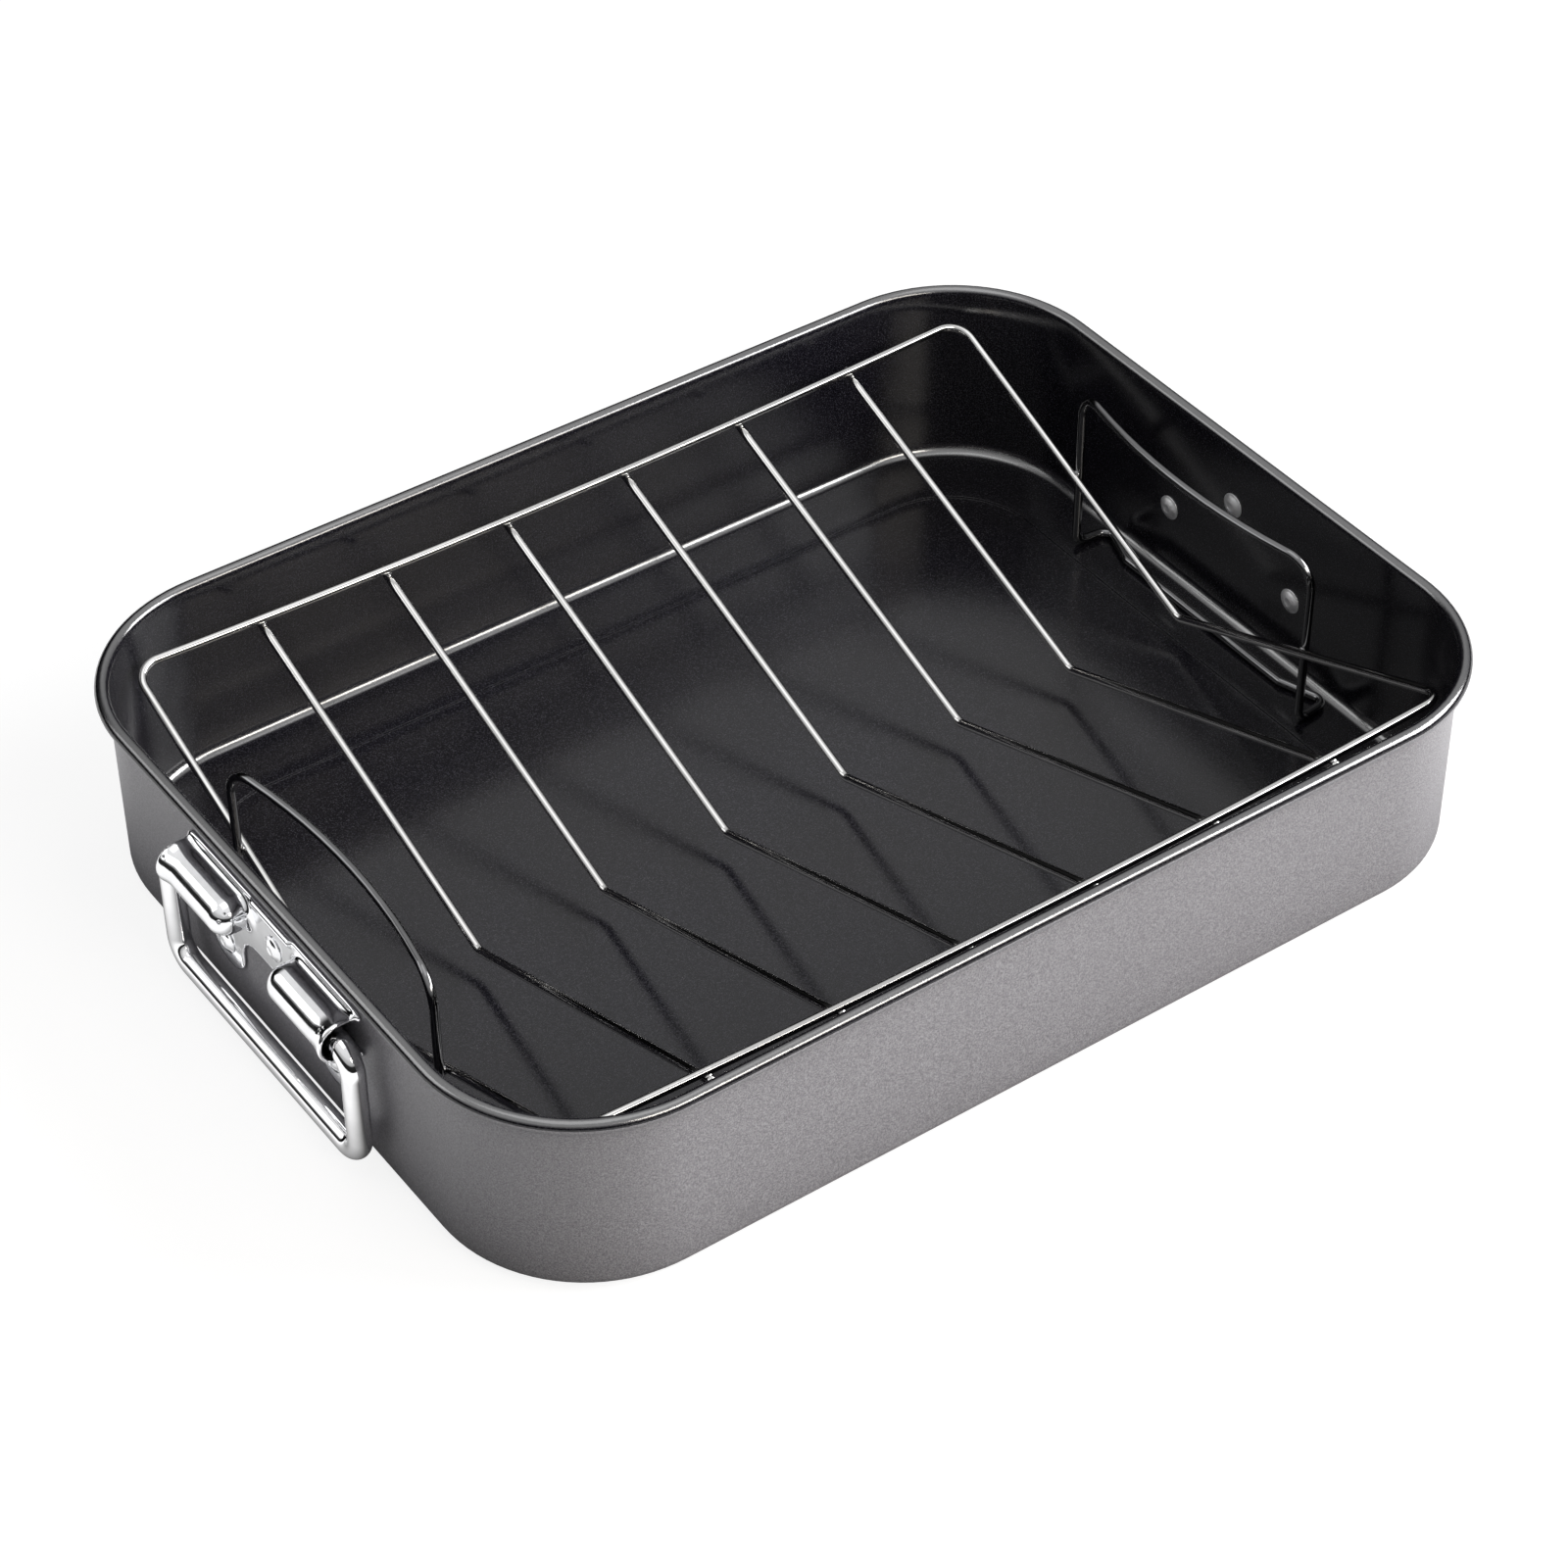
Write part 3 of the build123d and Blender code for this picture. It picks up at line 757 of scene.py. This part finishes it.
spacing = 2 * WIRE_R - WELD_SINK
pitch = 2 * FRAME_X / (CROSS_WIRES + 1)
for number in range(1, CROSS_WIRES + 1):
    x = -FRAME_X + number * pitch
    rise = CORNER_Z - SAG * (1 - (x / FRAME_X) ** 2) - VALLEY_Z
    angle = math.atan2(rise, FRAME_Y) - math.asin(spacing / math.hypot(rise, FRAME_Y))
    end_y = FRAME_Y + 4.0 * math.cos(angle)
    end_z = VALLEY_Z + end_y * math.tan(angle)
    s = Shell()
    path = bent_path([(x, -end_y, end_z), (x, 0, VALLEY_Z), (x, end_y, end_z)],
                     [VALLEY_BEND], False)
    s.add(*tube(path, WIRE_R, False, 24, 0.3))
    for sign in (-1, 1):
        # The weld's upset metal fills the corner between the wire and the rail above it
        wy = FRAME_Y + 0.5 * spacing * math.sin(angle)
        wz = VALLEY_Z + rise - 0.5 * spacing * math.cos(angle)
        s.add(*bead((x, sign * wy, wz), (1.9, 2.0, 1.35)))
    wire = s.object(f"rack_cross_wire_{number}", [MAT_RACK])
    stand_for(wire, "rack", "rack_chrome", f"rack_wire_{number}")

post_x = FRAME_X + spacing
bow_out, bow_radius = bowed(POST_Y, 7.5, 12.6)
for side, end in ((1, "right"), (-1, "left")):
    loop = [(post_x, POST_Y, LOOP_Z), (post_x, POST_Y, FOOT_Z), (TIP_X, TIP_Y, FOOT_Z),
            (BASE_X, BASE_Y, FOOT_Z), (BASE_X, -BASE_Y, FOOT_Z), (TIP_X, -TIP_Y, FOOT_Z),
            (post_x, -POST_Y, FOOT_Z), (post_x, -POST_Y, LOOP_Z), (post_x - bow_out, 0, LOOP_Z)]
    path = bent_path([(side * a, b, c) for a, b, c in loop],
                     [LOOP_BEND] + [FOOT_BEND] * 6 + [LOOP_BEND, bow_radius], True)
    s = Shell()
    s.add(*tube(path, WIRE_R, True, 24))
    for sign in (-1, 1):
        z = VALLEY_Z + (CORNER_Z - VALLEY_Z) * POST_Y / FRAME_Y
        s.add(*bead((side * (FRAME_X + spacing / 2), sign * POST_Y, z), (1.35, 1.9, 2.0)))
    stand = s.object(f"rack_stand_{end}", [MAT_STAND])
    stand_for(stand, "rack", "rack_chrome", f"rack_support_{end}")


# Floor, lights and camera
def vector_math(t, operation, a, b):
    m = t.nodes.new("ShaderNodeVectorMath")
    m.operation = operation
    t.links.new(a, m.inputs[0])
    m.inputs[1].default_value = b
    return m


def paper_glow_with_painted_shade(t, at):
    """White for rays from the camera. Mirrored rays see the paper's glow dimmed near the pan: a
    painted contact shade.
    """
    path = t.nodes.new("ShaderNodeLightPath")
    corner = vector_math(t, "ABSOLUTE", at, (0.0, 0.0, 0.0)).outputs[0]
    corner = vector_math(t, "SUBTRACT", corner, (0.1435, 0.0945, 1.0)).outputs[0]
    corner = vector_math(t, "MAXIMUM", corner, (0.0, 0.0, 0.0)).outputs[0]
    away = vector_math(t, "LENGTH", corner, (0.0, 0.0, 0.0)).outputs["Value"]
    # Painted shade: the glow that mirrored rays see falls towards the pan's corners, standing in
    # for a contact shadow there
    shade = spread(t, away, 0.0595, 0.1025, 0.04, 1.0)
    mirrored = combine(t, "MULTIPLY", path.outputs["Is Glossy Ray"], shade)
    seen = spread(t, path.outputs["Is Camera Ray"], 0.0, 1.0, 0.0, 0.86)
    return combine(t, "MAXIMUM", seen, mirrored)


def floor_material():
    """Plain pale paper, white to the camera and in reflections, with painted shade in reflections
    near the pan. It keeps the object's shadow.
    """
    m, t, bsdf, at = new_material("studio_paper")
    tooth = noise(t, at, 3.0, 2.0, 0.5)
    base = ramp(t, tooth, [(0.3, grey(0.25)), (0.7, grey(0.27))])
    t.links.new(base, bsdf.inputs["Base Color"])
    bsdf.inputs["Roughness"].default_value = 0.9
    t.links.new(paper_glow_with_painted_shade(t, at), bsdf.inputs["Emission Strength"])
    bsdf.inputs["Emission Color"].default_value = (1.0, 1.0, 1.0, 1.0)
    return m


def area(name, location, target, size, power, colour=(1.0, 1.0, 1.0)):
    data = bpy.data.lights.new(name, "AREA")
    data.shape = "RECTANGLE"
    data.size, data.size_y = size
    data.energy = power
    data.color = colour
    ob = bpy.data.objects.new(name, data)
    ob.location = location
    aim = Vector(target) - Vector(location)
    ob.rotation_euler = aim.to_track_quat("-Z", "Y").to_euler()
    scene.collection.objects.link(ob)


bpy.ops.mesh.primitive_circle_add(vertices=96, radius=0.95, fill_type="NGON", location=(0, 0, 0))
ground = bpy.context.object
ground.name = "studio_floor"
ground.data.materials.append(floor_material())

TOP_WATTS, KEY_WATTS, SIDE_WATTS, LEFT_WATTS = 5.0, 15.5, 38.0, 4.0
FILL, ROOM = 0.06, 1.0
WHITE = (1.0, 1.0, 1.0, 1.0)
area("overhead", (0.0, 0.1, 1.9), (0.0, 0.0, 0.0), (1.6, 1.2), TOP_WATTS)
area("key_front", (0.33, -1.56, 1.20), (0.0, 0.0, 0.05), (1.25, 0.42), KEY_WATTS,
     (1.0, 0.94, 0.86))
area("side_right", (1.42, -0.82, 1.15), (0.0, 0.0, 0.05), (1.3, 0.9), SIDE_WATTS)
area("side_left", (-1.30, 1.06, 1.18), (0.0, 0.0, 0.05), (1.2, 0.9), LEFT_WATTS)

world = bpy.data.worlds.new("studio")
scene.world = world
world.use_nodes = True
wt = world.node_tree
wt.nodes.clear()


def background(colour, strength):
    b = wt.nodes.new("ShaderNodeBackground")
    if isinstance(colour, bpy.types.NodeSocket):
        wt.links.new(colour, b.inputs[0])
    else:
        b.inputs[0].default_value = colour
    b.inputs[1].default_value = strength
    return b.outputs[0]


def choose(factor, off, on):
    m = wt.nodes.new("ShaderNodeMixShader")
    wt.links.new(factor, m.inputs[0])
    wt.links.new(off, m.inputs[1])
    wt.links.new(on, m.inputs[2])
    return m.outputs[0]


# Mirrored rays see a pale room above a dark band at the horizon
direction = wt.nodes.new("ShaderNodeTexCoord")
split = wt.nodes.new("ShaderNodeSeparateXYZ")
wt.links.new(direction.outputs["Generated"], split.inputs[0])
room = ramp(wt, split.outputs[2], [(0.0, grey(0.015)), (0.25, grey(0.02)), (0.35, grey(0.45)),
                                   (0.50, grey(0.55)), (0.66, grey(0.80)), (0.90, grey(0.90))])
# The wall behind the table, towards +Y, is dark
behind = spread(wt, split.outputs[1], 0.68, 0.84, 1.0, 0.04)
dimmed = wt.nodes.new("ShaderNodeVectorMath")
dimmed.operation = "SCALE"
wt.links.new(room, dimmed.inputs[0])
wt.links.new(behind, dimmed.inputs["Scale"])
rays = wt.nodes.new("ShaderNodeLightPath")
lit = choose(rays.outputs["Is Glossy Ray"], background(WHITE, FILL),
             background(dimmed.outputs[0], ROOM))
seen = choose(rays.outputs["Is Camera Ray"], lit, background(WHITE, 1.0))
wt.links.new(seen, wt.nodes.new("ShaderNodeOutputWorld").inputs[0])

camera_data = bpy.data.cameras.new("camera")
camera_data.lens = 94.582
camera_data.sensor_width = 36.0
camera_data.clip_start = 0.05
camera_data.clip_end = 50.0
camera = bpy.data.objects.new("camera", camera_data)
camera.location = (-0.61502, -0.87390, 0.95477)
camera.rotation_euler = Euler(
    (math.radians(48.7942), math.radians(0.3039), math.radians(-35.3626)), "XYZ")
scene.collection.objects.link(camera)
scene.camera = camera
scene.view_settings.view_transform = "Standard"
